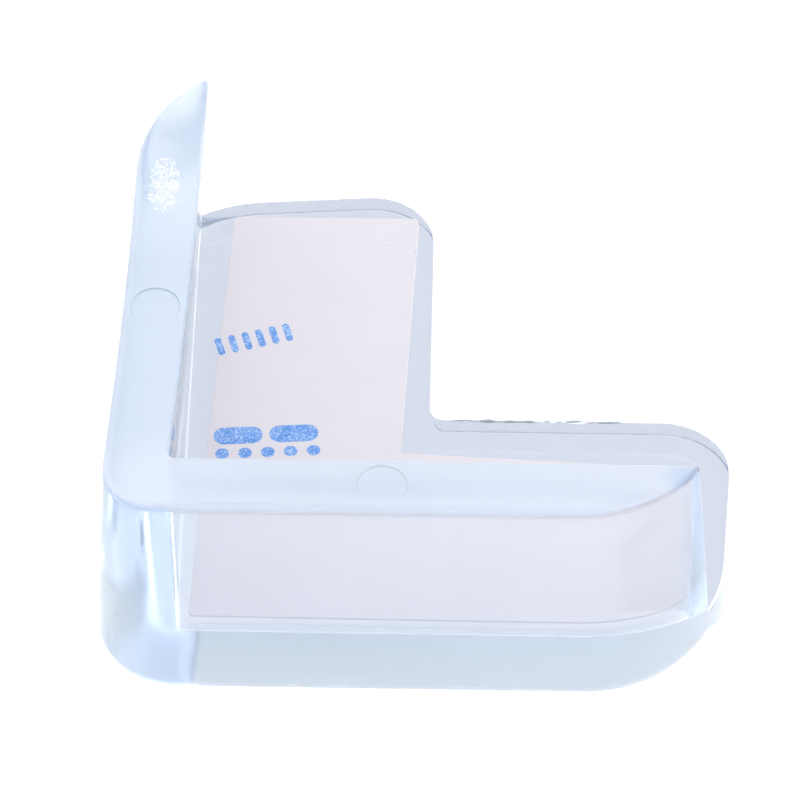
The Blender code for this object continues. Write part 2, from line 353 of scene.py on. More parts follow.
def build_moulding_mesh(settings):
    """The moulding as one closed mesh, with bevel weights on the edges that get rounded."""
    bm = bmesh.new()
    weights = bm.edges.layers.float.new("bevel_weight_edge")
    base = Outline(0.0, 0.0)
    count = len(base.points)
    right_tip, far_tip = base.right_tip, base.far_tip
    rings = [[bm.verts.new(place) for place in ring] for ring in plate_rings()]
    bm.faces.new(rings[0][::-1])
    for low, high in zip(rings, rings[1:]):
        for index in range(count):
            after = (index + 1) % count
            bm.faces.new((low[index], low[after], high[after], high[index]))

    outer_columns = list(range(far_tip, count)) + list(range(right_tip + 1))
    foot_outer = [rings[-1][index] for index in outer_columns]
    foot_inner = inner_face_points(foot_outer[-1].co, foot_outer[0].co, PLATE_THICKNESS)
    wall_rings = [foot_outer + [bm.verts.new(place) for place in foot_inner]]
    for step in range(1, WALL_RINGS + 1):
        height = blend(PLATE_THICKNESS, HEIGHT, step / WALL_RINGS)
        outline = Outline(draft_inset(height), height)
        outer = [outside_leaned(*outline.points[index], height) for index in outer_columns]
        ring = outer + inner_face_points(outer[-1], outer[0], height)
        wall_rings.append([bm.verts.new(place) for place in ring])
    length = len(wall_rings[0])
    for low, high in zip(wall_rings, wall_rings[1:]):
        for index in range(length):
            after = (index + 1) % length
            bm.faces.new((low[index], low[after], high[after], high[index]))
    bm.faces.new(wall_rings[-1])
    open_columns = rings[-1][right_tip:far_tip + 1]
    inner_foot = wall_rings[0][len(foot_outer):]
    bm.faces.new(open_columns + inner_foot[::-1])

    def weigh(verts, radius, closed=False):
        pairs = list(zip(verts, verts[1:]))
        if closed:
            pairs.append((verts[-1], verts[0]))
        for start, end in pairs:
            bm.edges.get((start, end))[weights] = radius / settings.edge_radius

    weigh(open_columns, settings.edge_radius)
    weigh([foot_outer[-1]] + inner_foot + [foot_outer[0]], settings.foot_radius)
    weigh(wall_rings[-1], settings.rim_radius, closed=True)
    outer_rim = wall_rings[-1][:len(foot_outer)]
    for index in range(len(outer_rim) - 1):
        from_tip = min(index, len(outer_rim) - 2 - index)
        share = clamped(2.0 * from_tip / END_WALL_STEPS - 1.0)
        weigh(outer_rim[index:index + 2], blend(settings.rim_radius, settings.outer_rim_radius, share))
    for column in (0, len(foot_outer) - 1):
        weigh([ring[column] for ring in wall_rings], settings.tip_radius)
    bmesh.ops.recalc_face_normals(bm, faces=bm.faces)
    return mesh_from(bm, "moulding")


def mesh_from(bm, name):
    mesh = bpy.data.meshes.new(name)
    bm.to_mesh(mesh)
    bm.free()
    return mesh


def add_object(name, mesh):
    piece = bpy.data.objects.new(name, mesh)
    bpy.context.scene.collection.objects.link(piece)
    return piece


def settled(piece):
    """Turns the piece's modifiers into a plain mesh on it and removes them."""
    depsgraph = bpy.context.evaluated_depsgraph_get()
    mesh = bpy.data.meshes.new_from_object(piece.evaluated_get(depsgraph), depsgraph=depsgraph)
    piece.modifiers.clear()
    piece.data = mesh
    return piece


def shade_smooth(piece):
    """Smooth shading with flat faces kept flat and sharp edges kept crisp."""
    for face in piece.data.polygons:
        face.use_smooth = True
    piece.data.set_sharp_from_angle(angle=CRISP_ANGLE)
    weighted = piece.modifiers.new("weighted_normal", "WEIGHTED_NORMAL")
    weighted.keep_sharp = True
    weighted.weight = 80
    return settled(piece)


def pin_mark_cutter(name, centre):
    """A short round cutter that flares a little at the rim."""
    bm = bmesh.new()
    bmesh.ops.create_cone(
        bm,
        cap_ends=True,
        segments=64,
        radius1=PIN_MARK_RADIUS,
        radius2=PIN_MARK_RADIUS + PIN_MARK_FLARE,
        depth=2.0 * PIN_MARK_DEPTH,
    )
    bmesh.ops.translate(bm, verts=bm.verts, vec=(centre[0], centre[1], HEIGHT))
    return add_object(name, mesh_from(bm, name))


def combine(target, other, operation):
    boolean = target.modifiers.new(operation.lower() + "_" + other.name, "BOOLEAN")
    boolean.operation = operation
    boolean.object = other
    boolean.solver = "EXACT"


def finish_piece(piece, material, slot_name, *nodes):
    """Gives the piece its material and its place in the frame."""
    if material is not None:
        piece.data.materials.clear()
        piece.data.materials.append(material)
    if nodes:
        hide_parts(*nodes)
    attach(piece, "root")
    return piece


def add_node(tree, kind, values=None, **settings):
    """A new node. values are socket values or the sockets that feed them, by name or number."""
    node = tree.nodes.new(kind)
    for name, value in settings.items():
        setattr(node, name, value)
    for name, value in (values or {}).items():
        if isinstance(value, bpy.types.NodeSocket):
            tree.links.new(value, node.inputs[name])
        else:
            node.inputs[name].default_value = value
    return node


def math_node(tree, operation, first, second=0.0):
    return add_node(tree, "ShaderNodeMath", {0: first, 1: second}, operation=operation).outputs[0]


def vector_node(tree, operation, first, second=(0.0, 0.0, 0.0)):
    return add_node(tree, "ShaderNodeVectorMath", {0: first, 1: second}, operation=operation).outputs


def split_node(tree, vector):
    return add_node(tree, "ShaderNodeSeparateXYZ", {"Vector": vector}).outputs


def noise_node(tree, coordinates, scale, detail=2.0, roughness=0.5):
    values = {"Vector": coordinates, "Scale": scale, "Detail": detail, "Roughness": roughness}
    return add_node(tree, "ShaderNodeTexNoise", values).outputs["Fac"]


def mapped(tree, value, from_low, from_high, to_low, to_high):
    """The value's place between two numbers, carried over to between two others."""
    names = ("Value", "From Min", "From Max", "To Min", "To Max")
    values = dict(zip(names, (value, from_low, from_high, to_low, to_high)))
    return add_node(tree, "ShaderNodeMapRange", values, clamp=True).outputs["Result"]


def mixed_colour(tree, factor, first, second):
    """A mix of two colours. Each is three channels or a socket."""
    values = {"Factor": factor}
    for number, colour in ((6, first), (7, second)):
        values[number] = colour if isinstance(colour, bpy.types.NodeSocket) else (*colour, 1.0)
    return add_node(tree, "ShaderNodeMix", values, data_type="RGBA").outputs[2]


def new_material(name):
    """A material with an empty tree but for its shader, and the Object coordinates."""
    material = bpy.data.materials.new(name)
    material.use_nodes = True
    tree = material.node_tree
    tree.nodes.clear()
    shader = add_node(tree, "ShaderNodeBsdfPrincipled")
    add_node(tree, "ShaderNodeOutputMaterial", {"Surface": shader.outputs["BSDF"]})
    coordinates = add_node(tree, "ShaderNodeTexCoord").outputs["Object"]
    return material, tree, shader, coordinates


def set_surface(tree, shader, colour, roughness):
    tree.links.new(colour, shader.inputs["Base Color"])
    tree.links.new(roughness, shader.inputs["Roughness"])


def add_bump(tree, shader, height, distance):
    bump = add_node(tree, "ShaderNodeBump", {"Height": height, "Strength": 1.0, "Distance": distance})
    tree.links.new(bump.outputs["Normal"], shader.inputs["Normal"])


def spot_share(tree, coordinates, centre, radii):
    """1 at the centre of an ellipsoid, falling to 0 at its surface."""
    placed = vector_node(tree, "SUBTRACT", coordinates, centre)[0]
    stretched = vector_node(tree, "DIVIDE", placed, radii)[0]
    length = vector_node(tree, "LENGTH", stretched)["Value"]
    return mapped(tree, length, 0.0, 1.0, 1.0, 0.0)


def mottled_material(name, scale, colours, roughness):
    """A material whose colour and roughness wander between two values each."""
    material, tree, shader, coordinates = new_material(name)
    mottle = noise_node(tree, coordinates, scale, 2.0)
    colour = mixed_colour(tree, mapped(tree, mottle, 0.3, 0.7, 0.0, 1.0), *colours)
    set_surface(tree, shader, colour, mapped(tree, mottle, 0.3, 0.7, *roughness))
    return material


def joined(tree, operation, value, layer, share):
    """The value joined with a share of the layer."""
    return math_node(tree, operation, value, math_node(tree, "MULTIPLY", layer, share))


def clear_plastic_material(settings):
    """Clear soft plastic: faint blue through its depth, a gently wavy skin and a satin rim."""
    material, tree, shader, coordinates = new_material("clear_soft_plastic")
    shader.inputs["Transmission Weight"].default_value = settings.clearness
    shader.inputs["IOR"].default_value = settings.ior
    place = split_node(tree, coordinates)
    rim = mapped(tree, place["Z"], HEIGHT - 1.0 * MM, HEIGHT - 0.4 * MM, 0.0, 1.0)
    cloud = spot_share(tree, coordinates, (*SCUFF_CENTRE, HEIGHT), (*SCUFF_RADII, SCUFF_DEPTH))
    rough_highlit_corner = spot_share(tree, coordinates, *ROUGH_HIGHLIT_CORNER)

    # Swells, ripples and fine grain of the skin, and the scratches of the scuffed patch
    swells = noise_node(tree, coordinates, 130.0, 1.0)
    ripples = noise_node(tree, coordinates, 420.0, 2.0)
    grain = noise_node(tree, coordinates, 2600.0, 3.0)
    scuffs = noise_node(tree, coordinates, 1500.0, 4.0, 0.7)
    scratches = math_node(tree, "MULTIPLY", cloud, mapped(tree, scuffs, 0.5, 0.62, 0.0, 1.0))
    height = joined(tree, "ADD", swells, ripples, 0.08)
    height = joined(tree, "ADD", height, grain, 0.003)
    height = joined(tree, "ADD", height, scratches, 1.2)
    add_bump(tree, shader, height, settings.waviness)
    roughness = joined(tree, "ADD", mapped(tree, grain, 0.3, 0.7, 0.05, 0.08), scratches, 0.2)
    roughness = joined(tree, "MAXIMUM", roughness, rim, 0.4)
    roughness = joined(tree, "ADD", roughness, rough_highlit_corner, 0.22)

    # Colours: painted shade as a dark film on the plate's inner face, painted shade on the rim of each
    # wall, and the spots
    above_plate = math_node(tree, "ABSOLUTE", math_node(tree, "SUBTRACT", place["Z"], PLATE_THICKNESS))
    # Painted shade: the plate's inner face takes the dark film colour, which darkens what shows through
    # it
    painted_shade = mapped(tree, above_plate, 0.005 * MM, 0.02 * MM, 1.0, 0.0)
    colour = mixed_colour(tree, painted_shade, settings.body_colour, settings.painted_shade_colour)
    # Painted highlight: the outer corner's colour turns white
    colour = mixed_colour(tree, rough_highlit_corner, colour, WHITE)
    # Painted shade: the rims are darker than the body, the long wall's rim darker than the front wall's
    on_long_arm = mapped(tree, place["Y"], -1.5 * MM, 3.0 * MM, 0.0, 1.0)
    rim_shade_light_and_scuff_colour = mixed_colour(tree, on_long_arm, settings.front_rim_shade_colour, settings.long_rim_shade_colour)
    # Painted light: toward the long arm's far end the rim's colour turns to the body colour, lightening
    # it
    painted_far_end_light = spot_share(tree, coordinates, *FAR_END_LIGHT)
    rim_shade_light_and_scuff_colour = mixed_colour(tree, painted_far_end_light, rim_shade_light_and_scuff_colour, settings.body_colour)
    rim_shade_light_and_scuff_colour = mixed_colour(tree, cloud, rim_shade_light_and_scuff_colour, WHITE)
    # Painted shade: the rim's right end turns a darker blue
    painted_right_end_shade = spot_share(tree, coordinates, *RIGHT_END_SHADE)
    rim_shade_light_and_scuff_colour = mixed_colour(tree, painted_right_end_shade, rim_shade_light_and_scuff_colour, RIGHT_END_SHADE_COLOUR)
    set_surface(tree, shader, mixed_colour(tree, rim, colour, rim_shade_light_and_scuff_colour), roughness)

    volume = add_node(tree, "ShaderNodeVolumeAbsorption", {"Density": settings.tint_density})
    volume.inputs["Color"].default_value = (*settings.tint, 1.0)
    output = next(node for node in tree.nodes if node.type == "OUTPUT_MATERIAL")
    tree.links.new(volume.outputs["Volume"], output.inputs["Volume"])
    return material


def tape_material():
    """White double-sided tape with fine trapped bubbles."""
    material, tree, shader, coordinates = new_material("white_tape")
    cloudy = noise_node(tree, coordinates, 260.0, 3.0)
    bubbles = noise_node(tree, coordinates, 1400.0, 2.0)
    cloudiness = mapped(tree, cloudy, 0.3, 0.7, 0.0, 1.0)
    colour = mixed_colour(tree, cloudiness, (0.915, 0.955, 0.975), (0.945, 0.975, 0.99))
    level = split_node(tree, coordinates)["Z"]
    side = mapped(tree, level, TAPE_BOTTOM + 0.05 * MM, TAPE_BOTTOM + 0.15 * MM, 0.0, 1.0)
    colour = mixed_colour(tree, side, colour, (0.94, 0.92, 0.95))
    set_surface(tree, shader, colour, mapped(tree, bubbles, 0.3, 0.7, 0.4, 0.6))
    add_bump(tree, shader, bubbles, 0.02 * MM)
    return material


def liner_material(settings):
    """Smooth white release paper: fine fibre grain, a faint lilac tone and slight swells."""
    material, tree, shader, coordinates = new_material("release_paper")
    blotches = noise_node(tree, coordinates, 160.0, 3.0)
    grain = noise_node(tree, coordinates, 5200.0, 3.0, 0.6)
    swells = noise_node(tree, coordinates, 110.0, 1.0)
    tone = math_node(tree, "MULTIPLY", math_node(tree, "ADD", grain, blotches), 0.5)
    darker = tuple(channel * 0.965 for channel in settings.paper)
    colour = mixed_colour(tree, mapped(tree, tone, 0.35, 0.65, 0.0, 1.0), darker, settings.paper)
    set_surface(tree, shader, colour, mapped(tree, grain, 0.3, 0.7, 0.42, 0.55))
    add_bump(tree, shader, joined(tree, "ADD", swells, grain, 0.02), 0.05 * MM)
    return material


def ink_material(settings):
    """Light blue ink with the small speckles that paper shows through it."""
    material, tree, shader, coordinates = new_material("blue_ink")
    speckles = noise_node(tree, coordinates, 6500.0, 3.0, 0.7)
    uneven = noise_node(tree, coordinates, 900.0, 2.0)
    speckled = mapped(tree, speckles, 0.52, 0.66, 0.0, 0.75)
    tone = math_node(tree, "ADD", speckled, mapped(tree, uneven, 0.35, 0.7, 0.0, 0.2))
    colour = mixed_colour(tree, tone, settings.ink, (0.55, 0.66, 0.84))
    set_surface(tree, shader, colour, mapped(tree, uneven, 0.3, 0.7, 0.4, 0.55))
    add_bump(tree, shader, speckles, 0.01 * MM)
    return material


def dust_material():
    """Dark dust and lint."""
    return mottled_material("dust", 4000.0, ((0.05, 0.05, 0.06), (0.30, 0.29, 0.30)), (0.7, 0.9))


def scuff_material():
    """White stress marks in scratched plastic."""
    colours = ((0.94, 0.96, 0.98), (1.0, 1.0, 1.0))
    return mottled_material("scuffed_plastic", 3000.0, colours, (0.5, 0.7))


def flash_shade_material():
    """Painted shade: the dark grey-blue of the flecks that stand for the shade under the flash."""
    colours = ((0.20, 0.25, 0.30), (0.36, 0.42, 0.48))
    return mottled_material("painted_flash_shade", 1500.0, colours, (0.3, 0.5))


def new_geometry_tree(name, inputs):
    """A Geometry Nodes tree with these named inputs, its input sockets and its output node."""
    tree = bpy.data.node_groups.new(name, "GeometryNodeTree")
    face = tree.interface
    face.new_socket("Geometry", in_out="INPUT", socket_type="NodeSocketGeometry")
    for title, kind, value in inputs:
        socket = face.new_socket(title, in_out="INPUT", socket_type="NodeSocket" + kind)
        if value is not None:
            socket.default_value = value
    face.new_socket("Geometry", in_out="OUTPUT", socket_type="NodeSocketGeometry")
    given = tree.nodes.new("NodeGroupInput").outputs
    return tree, given, tree.nodes.new("NodeGroupOutput")


def run_geometry_tree(piece, tree, values):
    """Runs the tree on the piece, with its inputs set by their identifiers, and keeps the mesh."""
    modifier = piece.modifiers.new(tree.name, "NODES")
    modifier.node_group = tree
    for item in tree.interface.items_tree:
        if item.in_out == "INPUT" and item.name in values:
            modifier[item.identifier] = values[item.name]
    return settled(piece)


def close_tree(tree, geometry, material, output):
    """Ends the tree in Realize Instances and Set Material."""
    realized = add_node(tree, "GeometryNodeRealizeInstances", {"Geometry": geometry})
    values = {"Geometry": realized.outputs["Geometry"], "Material": material}
    painted = add_node(tree, "GeometryNodeSetMaterial", values)
    tree.links.new(painted.outputs["Geometry"], output.inputs["Geometry"])


def flash_tree():
    """A thin wavy bead along a line, as the flash that the mould's parting line leaves."""
    tree, given, output = new_geometry_tree(
        "flash_bead",
        [
            ("Radius", "Float", 0.3 * MM),
            ("Sway", "Float", 0.25 * MM),
            ("Wave Scale", "Float", 400.0),
            ("Spacing", "Float", 0.25 * MM),
            ("Material", "Material", None),
        ],
    )
    line = add_node(tree, "GeometryNodeMeshToCurve", {"Mesh": given["Geometry"]}).outputs[0]
    values = {"Curve": line, "Length": given["Spacing"]}
    line = add_node(tree, "GeometryNodeResampleCurve", values, mode="LENGTH")
    place = add_node(tree, "GeometryNodeInputPosition").outputs[0]
    values = {"Vector": place, "Scale": given["Wave Scale"], "Detail": 1.0}
    noise = add_node(tree, "ShaderNodeTexNoise", values)
    centred = vector_node(tree, "SUBTRACT", noise.outputs["Color"], (0.5, 0.5, 0.5))[0]
    values = {0: centred, "Scale": given["Sway"]}
    sway = add_node(tree, "ShaderNodeVectorMath", values, operation="SCALE")
    values = {"Geometry": line.outputs[0], "Offset": sway.outputs[0]}
    moved = add_node(tree, "GeometryNodeSetPosition", values)
    finer_scale = math_node(tree, "MULTIPLY", given["Wave Scale"], 1.7)
    swell = add_node(tree, "ShaderNodeTexNoise", {"Vector": place, "Scale": finer_scale})
    thickness = mapped(tree, swell.outputs["Fac"], 0.35, 0.65, 0.35, 1.0)
    values = {"Resolution": 12, "Radius": given["Radius"]}
    ring = add_node(tree, "GeometryNodeCurvePrimitiveCircle", values)
    values = {"Curve": moved.outputs[0], "Profile Curve": ring.outputs["Curve"]}
    values |= {"Scale": thickness, "Fill Caps": True}
    tube = add_node(tree, "GeometryNodeCurveToMesh", values)
    close_tree(tree, tube.outputs["Mesh"], given["Material"], output)
    return tree


def bar_row_tree():
    """A row of thin rounded bars that stand off the paper by the ink's thickness."""
    tree, given, output = new_geometry_tree(
        "printed_bar_row",
        [
            ("Count", "Int", 4),
            ("Spacing", "Float", 2.0 * MM),
            ("Length", "Float", 1.4 * MM),
            ("Width", "Float", 0.5 * MM),
            ("Thickness", "Float", 0.015 * MM),
            ("Angle", "Float", 0.0),
            ("Start", "Vector", (0.0, 0.0, 0.0)),
            ("Material", "Material", None),
        ],
    )
    values = {"Width": given["Length"], "Height": given["Width"]}
    shape = add_node(tree, "GeometryNodeCurvePrimitiveQuadrilateral", values)
    narrow = math_node(tree, "MINIMUM", given["Width"], given["Length"])
    radius = math_node(tree, "MULTIPLY", narrow, 0.49)
    values = {"Curve": shape.outputs["Curve"], "Radius": radius, "Count": 8}
    fillet = add_node(tree, "GeometryNodeFilletCurve", values, mode="POLY")
    filled = add_node(tree, "GeometryNodeFillCurve", {"Curve": fillet.outputs["Curve"]}, mode="NGONS")
    raised = add_node(
        tree,
        "GeometryNodeExtrudeMesh",
        {
            "Mesh": filled.outputs["Mesh"],
            "Offset": Vector((0.0, 0.0, 1.0)),
            "Offset Scale": given["Thickness"],
            "Individual": False,
        },
    )
    under = add_node(tree, "GeometryNodeFlipFaces", {"Mesh": filled.outputs["Mesh"]})
    whole = add_node(tree, "GeometryNodeJoinGeometry")
    tree.links.new(under.outputs["Mesh"], whole.inputs["Geometry"])
    tree.links.new(raised.outputs["Mesh"], whole.inputs["Geometry"])
    values = {"Geometry": whole.outputs["Geometry"], "Distance": 0.001 * MM}
    closed = add_node(tree, "GeometryNodeMergeByDistance", values)
    step = add_node(tree, "ShaderNodeCombineXYZ", {"X": given["Spacing"]})
    values = {"Count": given["Count"], "Offset": step.outputs[0]}
    row = add_node(tree, "GeometryNodeMeshLine", values)
    values = {"Points": row.outputs["Mesh"], "Instance": closed.outputs["Geometry"]}
    copies = add_node(tree, "GeometryNodeInstanceOnPoints", values)
    turn = add_node(tree, "ShaderNodeCombineXYZ", {"Z": given["Angle"]})
    values = {"Geometry": copies.outputs["Instances"], "Translation": given["Start"]}
    values["Rotation"] = turn.outputs[0]
    placed = add_node(tree, "GeometryNodeTransform", values)
    close_tree(tree, placed.outputs["Geometry"], given["Material"], output)
    return tree


def scatter_tree():
    """Rounded flecks scattered on a surface, each with its own size and turn."""
    tree, given, output = new_geometry_tree(
        "fleck_scatter",
        [
            ("Density", "Float", 6000.0),
            ("Smallest", "Vector", (0.02 * MM, 0.02 * MM, 0.01 * MM)),
            ("Largest", "Vector", (0.09 * MM, 0.05 * MM, 0.02 * MM)),
            ("Turn", "Float", math.tau),
            ("Seed", "Int", 4),
            ("Material", "Material", None),
        ],
    )
    values = {"Mesh": given["Geometry"], "Density": given["Density"], "Seed": given["Seed"]}
    points = add_node(tree, "GeometryNodeDistributePointsOnFaces", values)
    fleck = add_node(tree, "GeometryNodeMeshIcoSphere", {"Radius": 1.0, "Subdivisions": 2})
    values = {"Seed": given["Seed"], 0: given["Smallest"], 1: given["Largest"]}
    size = add_node(tree, "FunctionNodeRandomValue", values, data_type="FLOAT_VECTOR")
    values = {"Seed": given["Seed"], 2: 0.0, 3: given["Turn"]}
    angle = add_node(tree, "FunctionNodeRandomValue", values, data_type="FLOAT")
    turn = add_node(tree, "ShaderNodeCombineXYZ", {"Z": angle.outputs[1]})
    values = {"Points": points.outputs["Points"], "Instance": fleck.outputs["Mesh"]}
    values |= {"Rotation": turn.outputs[0], "Scale": size.outputs[0]}
    copies = add_node(tree, "GeometryNodeInstanceOnPoints", values)
    close_tree(tree, copies.outputs["Instances"], given["Material"], output)
    return tree


def toward(start, end, distance):
    share = distance / math.dist(start, end)
    return (blend(start[0], end[0], share), blend(start[1], end[1], share))


def rounded(corners, radius, steps):
    """The polygon with each corner replaced by a short curve that starts radius away from it."""
    points = []
    for index, corner in enumerate(corners):
        start = toward(corner, corners[index - 1], radius)
        end = toward(corner, corners[(index + 1) % len(corners)], radius)
        for step in range(steps + 1):
            share = step / steps
            first = (blend(start[0], corner[0], share), blend(start[1], corner[1], share))
            second = (blend(corner[0], end[0], share), blend(corner[1], end[1], share))
            points.append((blend(first[0], second[0], share), blend(first[1], second[1], share)))
    return points


def tape_corners():
    """The six corners of the askew L that the tape and its liner share."""
    side = LONG_ARM_SIDE - draft_inset(PLATE_THICKNESS)
    back = FRONT_ARM_SIDE - draft_inset(PLATE_THICKNESS)
    end = ARM_END - draft_inset(PLATE_THICKNESS)

    def end_beside(distance):
        return end - distance * math.tan(END_SLANT)

    front_y = TAPE_TO_FRONT_WALL[1]
    back_y = back - TAPE_TO_BACK_SIDE[1]
    near_x = TAPE_TO_LONG_WALL[1]
    far_x = side - TAPE_TO_LONG_SIDE[1]
    return [
        (TAPE_TO_LONG_WALL[0], TAPE_TO_FRONT_WALL[0]),
        (end_beside(back - front_y) - TAPE_TO_RIGHT_END[0], front_y),
        (end_beside(back - back_y) - TAPE_TO_RIGHT_END[1], back_y),
        (side - TAPE_TO_LONG_SIDE[0], back - TAPE_TO_BACK_SIDE[0]),
        (far_x, end_beside(side - far_x) - TAPE_TO_FAR_END[1]),
        (near_x, end_beside(side - near_x) - TAPE_TO_FAR_END[0]),
    ]


def add_sheet(name, bottom, top, edge):
    """The L-shaped sheet between two heights, with its edges softened by edge."""
    bm = bmesh.new()
    outline = rounded(tape_corners(), TAPE_CORNER_RADIUS, 6)
    face = bm.faces.new([bm.verts.new((x, y, bottom)) for x, y in outline])
    raised = bmesh.ops.extrude_face_region(bm, geom=[face])
    lifted = [item for item in raised["geom"] if isinstance(item, bmesh.types.BMVert)]
    bmesh.ops.translate(bm, verts=lifted, vec=(0.0, 0.0, top - bottom))
    bmesh.ops.recalc_face_normals(bm, faces=bm.faces)
    rims = [item for item in bm.edges if abs(item.verts[0].co.z - item.verts[1].co.z) < edge / 2.0]
    bmesh.ops.bevel(bm, geom=rims, offset=edge, segments=2, affect="EDGES", profile=0.5)
    return shade_smooth(add_object(name, mesh_from(bm, name)))


def length_setting(name, description, default, least=0.05 * MM):
    return bpy.props.FloatProperty(
        name=name,
        description=description,
        default=default,
        min=least,
        unit="LENGTH",
    )


def colour_setting(name, description, default):
    return bpy.props.FloatVectorProperty(
        name=name,
        description=description,
        default=default,
        min=0.0,
        max=1.0,
        subtype="COLOR",
    )


class GuardSettings(bpy.types.PropertyGroup):
    """Sizes and tint of the soft plastic moulding."""

    edge_radius: length_setting(
        "Plate edge radius",
        "Rounding of the plate's inner edge beside the open sides",
        0.28 * MM,
    )
    tip_radius: length_setting(
        "Wall tip radius",
        "Rounding of the upright edges where the walls end",
        0.4 * MM,
    )
    foot_radius: length_setting("Foot radius", "Rounding where the walls rise from the plate", 0.12 * MM)
    rim_radius: length_setting(
        "Inner rim radius",
        "Rounding of the rim's edge over the inner faces",
        0.35 * MM,
    )
    outer_rim_radius: length_setting(
        "Outer rim radius",
        "Rounding of the rim's edge over the outer faces",
        0.7 * MM,
    )
    body_colour: colour_setting(
        "Body colour",
        "Pale colour of the plastic's slight milkiness",
        (0.93, 0.95, 0.985),
    )
    # Painted shade: a dark film colour on the plate's inner face, darkening what shows through the plate
    painted_shade_colour: colour_setting(
        "Film colour",
        "Colour of the painted shade on the plate's inner face",
        (0.37, 0.395, 0.48),
    )
    # Painted shade: darker rim colours, one for each wall, the long wall's the darker
    long_rim_shade_colour: colour_setting(
        "Long rim colour",
        "Colour of the painted shade on the rim of the long arm's wall",
        (0.56, 0.585, 0.64),
    )
    front_rim_shade_colour: colour_setting(
        "Front rim colour",
        "Colour of the painted shade on the rim of the front wall",
        (0.69, 0.67, 0.71),
    )
    clearness: bpy.props.FloatProperty(
        name="Clearness",
        description="Share of the light that the skin lets straight through",
        default=0.93,
        min=0.5,
        max=1.0,
    )
    ior: bpy.props.FloatProperty(
        name="Index of refraction",
        description="How strongly the plastic bends light",
        default=1.5,
        min=1.3,
        max=1.7,
    )
    tint: colour_setting("Tint", "Colour that the plastic lets through", (0.35, 0.62, 0.92))
    tint_density: bpy.props.FloatProperty(
        name="Tint density",
        description="How fast the tint builds up with depth, per metre",
        default=13.5,
        min=0.0,
    )
    waviness: length_setting(
        "Skin waviness",
        "Height of the gentle swells in the moulded skin",
        0.035 * MM,
        least=0.0,
    )


class LinerSettings(bpy.types.PropertyGroup):
    """Colours and print of the tape's release liner."""

    paper: colour_setting("Paper", "Colour of the release paper", (0.51, 0.49, 0.535))
    ink: colour_setting("Ink", "Colour of the printed bars", (0.030, 0.170, 0.50))
    ink_thickness: length_setting(
        "Ink thickness",
        "How far the printed bars stand off the paper",
        0.015 * MM,
        least=0.001 * MM,
    )
    dust_seed: bpy.props.IntProperty(
        name="Dust seed",
        description="Start of the random places of the dust",
        default=4,
        min=0,
    )


class StageSettings(bpy.types.PropertyGroup):
    """Light of the plain studio."""

    floor_size: length_setting(
        "Floor size",
        "Width of the pale floor",
        6.0,
        least=1.0,
    )
    floor_glow: bpy.props.FloatProperty(
        name="Floor glow",
        description="Light that comes through the floor from below, as on a light table",
        default=1.12,
        min=0.0,
    )
    surround: bpy.props.FloatProperty(
        name="Surround",
        description="Brightness of the pale surround",
        default=1.0,
        min=0.0,
    )
    softbox_power: bpy.props.FloatProperty(
        name="Softbox power",
        description="Power of the main softbox",
        default=3.0,
        min=0.0,
        unit="POWER",
    )


class CORNERGUARD_OT_moulding(bpy.types.Operator):
    """Builds the clear moulding with its pin marks and the flash along the front arm's back edge"""

    bl_idname = "corner_guard.moulding"
    bl_label = "Add moulding"
    bl_options = {"REGISTER", "UNDO"}

    def execute(self, context):
        settings = context.scene.corner_guard
        guard = add_object("guard_moulding", build_moulding_mesh(settings))
        bevel = guard.modifiers.new("rounding", "BEVEL")
        bevel.limit_method = "WEIGHT"
        bevel.width = settings.edge_radius
        bevel.segments = 4
        bevel.use_clamp_overlap = False
        settled(guard)
        material = clear_plastic_material(settings)
        cutters = [
            pin_mark_cutter("front_pin_mark", (FRONT_PIN_MARK_DISTANCE, -RIM_THICKNESS / 2.0)),
            pin_mark_cutter(
                "long_pin_mark",
                outside_leaned(-RIM_THICKNESS / 2.0, LONG_PIN_MARK_DISTANCE, HEIGHT),
            ),
        ]
        for cutter in cutters:
            combine(guard, cutter, "DIFFERENCE")
        bead = flash_bead(material)
        combine(guard, bead, "UNION")
        settled(guard)
        for helper in cutters + [bead]:
            bpy.data.objects.remove(helper)
        shade_smooth(guard)
        if not guard.data.polygons:
            raise RuntimeError("the moulding came out empty")
        finish_piece(guard, material, "clear_plastic", "corner_guard")
        add_scuffs()
        add_flash_shade_flecks()
        return {"FINISHED"}


def flash_bead(material):
    """The flash's line along the upper back edge of the front arm, made solid."""
    bm = bmesh.new()
    back = FRONT_ARM_SIDE - draft_inset(PLATE_THICKNESS)
    ends = [(x, back - FLASH_INSET, PLATE_THICKNESS - FLASH_DEPTH) for x in FLASH_ENDS]
    bm.edges.new([bm.verts.new(end) for end in ends])
    bead = add_object("flash_bead", mesh_from(bm, "flash_bead"))
    return run_geometry_tree(bead, flash_tree(), {"Material": material})


class CORNERGUARD_OT_tape(bpy.types.Operator):
    """Builds the double-sided tape on the plate"""

    bl_idname = "corner_guard.tape"
    bl_label = "Add tape"
    bl_options = {"REGISTER", "UNDO"}

    def execute(self, context):
        tape = add_sheet("double_sided_tape", TAPE_BOTTOM, TAPE_TOP, TAPE_EDGE)
        finish_piece(tape, tape_material(), "tape", "adhesive_tape")
        return {"FINISHED"}


class CORNERGUARD_OT_liner(bpy.types.Operator):
    """Builds the release liner with its printed bars and a little dust"""

    bl_idname = "corner_guard.liner"
    bl_label = "Add liner"
    bl_options = {"REGISTER", "UNDO"}

    def execute(self, context):
        settings = context.scene.corner_guard_liner
        liner = add_sheet("paper_liner", LINER_BOTTOM, LINER_TOP, LINER_EDGE)
        finish_piece(liner, liner_material(settings), "liner_paper", "release_liner")
        add_print(settings)
        add_dust(settings)
        return {"FINISHED"}


# Rows of printed bars: start, direction in degrees, number, spacing, length and width of the bars
PRINT_ROWS = (
    ((2.2, 27.9), 17.0, 6, 1.25, 0.62, 2.1),
    ((4.3, 17.6), 4.0, 2, 4.9, 4.3, 1.9),
    ((3.0, 15.5), 4.0, 5, 2.0, 1.2, 1.15),
)


